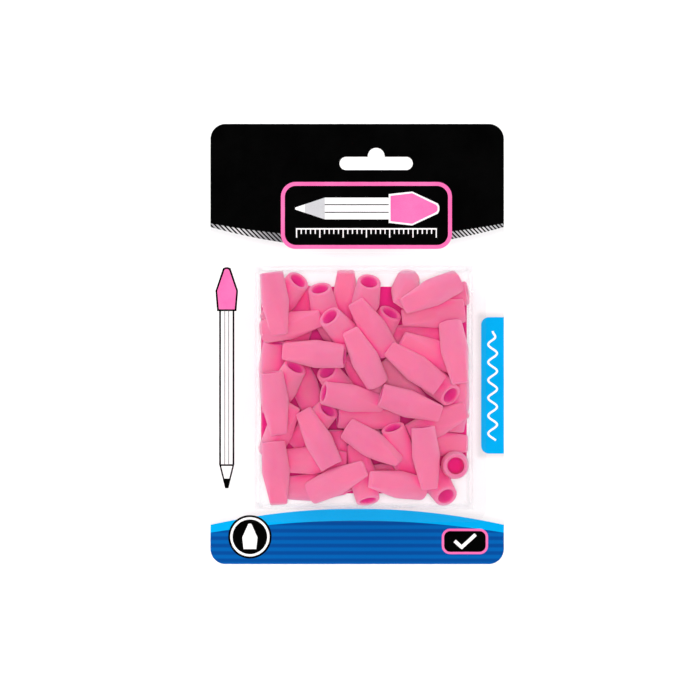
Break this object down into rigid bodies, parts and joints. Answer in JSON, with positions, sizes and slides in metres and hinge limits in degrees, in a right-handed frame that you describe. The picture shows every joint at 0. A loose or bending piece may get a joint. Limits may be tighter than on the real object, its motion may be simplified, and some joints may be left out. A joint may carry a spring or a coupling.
{
  "type": "pencil eraser topper pack",
  "caption": "Hanging card with a clear formed blister holding a heap of loose pink wedge-ended rubber eraser caps, each with a blind bore that pushes onto a pencil.",
  "frame": {"origin": "centre of the card's back face, with the pack lying on its back", "axes": "+Z out of the card's printed front, +Y along the card to the hang slot, +X to the right of the front"},
  "size_m": [0.127, 0.1906, 0.035],
  "materials": {
    "board": "coated printed paperboard",
    "clear_film": "clear formed sheet",
    "eraser_rubber": "matt moulded rubber"
  },
  "bodies": {
    "sealed_pack": {"backing_card": "board", "topper_02": "eraser_rubber", "topper_03": "eraser_rubber", "topper_04": "eraser_rubber", "topper_05": "eraser_rubber", "topper_06": "eraser_rubber", "topper_07": "eraser_rubber", "topper_09": "eraser_rubber", "topper_10": "eraser_rubber", "topper_11": "eraser_rubber", "topper_12": "eraser_rubber", "topper_13": "eraser_rubber", "topper_14": "eraser_rubber", "topper_15": "eraser_rubber", "topper_16": "eraser_rubber", "topper_17": "eraser_rubber", "topper_18": "eraser_rubber", "topper_20": "eraser_rubber", "topper_21": "eraser_rubber", "topper_23": "eraser_rubber", "topper_24": "eraser_rubber", "topper_25": "eraser_rubber", "topper_26": "eraser_rubber", "topper_28": "eraser_rubber", "topper_31": "eraser_rubber", "topper_32": "eraser_rubber", "topper_34": "eraser_rubber", "topper_35": "eraser_rubber", "topper_37": "eraser_rubber", "topper_38": "eraser_rubber", "topper_39": "eraser_rubber", "topper_41": "eraser_rubber", "topper_42": "eraser_rubber", "topper_44": "eraser_rubber", "topper_45": "eraser_rubber", "topper_46": "eraser_rubber", "topper_47": "eraser_rubber", "topper_48": "eraser_rubber", "topper_49": "eraser_rubber", "topper_50": "eraser_rubber", "topper_51": "eraser_rubber", "topper_52": "eraser_rubber"},
    "clear_blister": {"blister": "clear_film"},
    "loose_topper_01": {"topper_01": "eraser_rubber"},
    "loose_topper_08": {"topper_08": "eraser_rubber"},
    "loose_topper_19": {"topper_19": "eraser_rubber"},
    "loose_topper_22": {"topper_22": "eraser_rubber"},
    "loose_topper_27": {"topper_27": "eraser_rubber"},
    "loose_topper_29": {"topper_29": "eraser_rubber"},
    "loose_topper_30": {"topper_30": "eraser_rubber"},
    "loose_topper_33": {"topper_33": "eraser_rubber"},
    "loose_topper_36": {"topper_36": "eraser_rubber"},
    "loose_topper_40": {"topper_40": "eraser_rubber"},
    "loose_topper_43": {"topper_43": "eraser_rubber"}
  },
  "joints": [
    {"name": "blister_lift", "type": "slide", "parent": "sealed_pack", "child": "clear_blister", "axis": [0, 0, 1], "range_m": [0, 0.045]},
    {"name": "topper_01_lift", "type": "slide", "parent": "sealed_pack", "child": "loose_topper_01", "axis": [0, 0, 1], "range_m": [0, 0.0022]},
    {"name": "topper_08_lift", "type": "slide", "parent": "sealed_pack", "child": "loose_topper_08", "axis": [0, 0, 1], "range_m": [0, 0.0021]},
    {"name": "topper_19_lift", "type": "slide", "parent": "sealed_pack", "child": "loose_topper_19", "axis": [0, 0, 1], "range_m": [0, 0.0021]},
    {"name": "topper_22_lift", "type": "slide", "parent": "sealed_pack", "child": "loose_topper_22", "axis": [0, 0, 1], "range_m": [0, 0.0022]},
    {"name": "topper_27_lift", "type": "slide", "parent": "sealed_pack", "child": "loose_topper_27", "axis": [0, 0, 1], "range_m": [0, 0.0022]},
    {"name": "topper_29_lift", "type": "slide", "parent": "sealed_pack", "child": "loose_topper_29", "axis": [0, 0, 1], "range_m": [0, 0.0019]},
    {"name": "topper_30_lift", "type": "slide", "parent": "sealed_pack", "child": "loose_topper_30", "axis": [0, 0, 1], "range_m": [0, 0.0021]},
    {"name": "topper_33_lift", "type": "slide", "parent": "sealed_pack", "child": "loose_topper_33", "axis": [0, 0, 1], "range_m": [0, 0.0022]},
    {"name": "topper_36_lift", "type": "slide", "parent": "sealed_pack", "child": "loose_topper_36", "axis": [0, 0, 1], "range_m": [0, 0.002]},
    {"name": "topper_40_lift", "type": "slide", "parent": "sealed_pack", "child": "loose_topper_40", "axis": [0, 0, 1], "range_m": [0, 0.0021]},
    {"name": "topper_43_lift", "type": "slide", "parent": "sealed_pack", "child": "loose_topper_43", "axis": [0, 0, 1], "range_m": [0, 0.0021]}
  ]
}
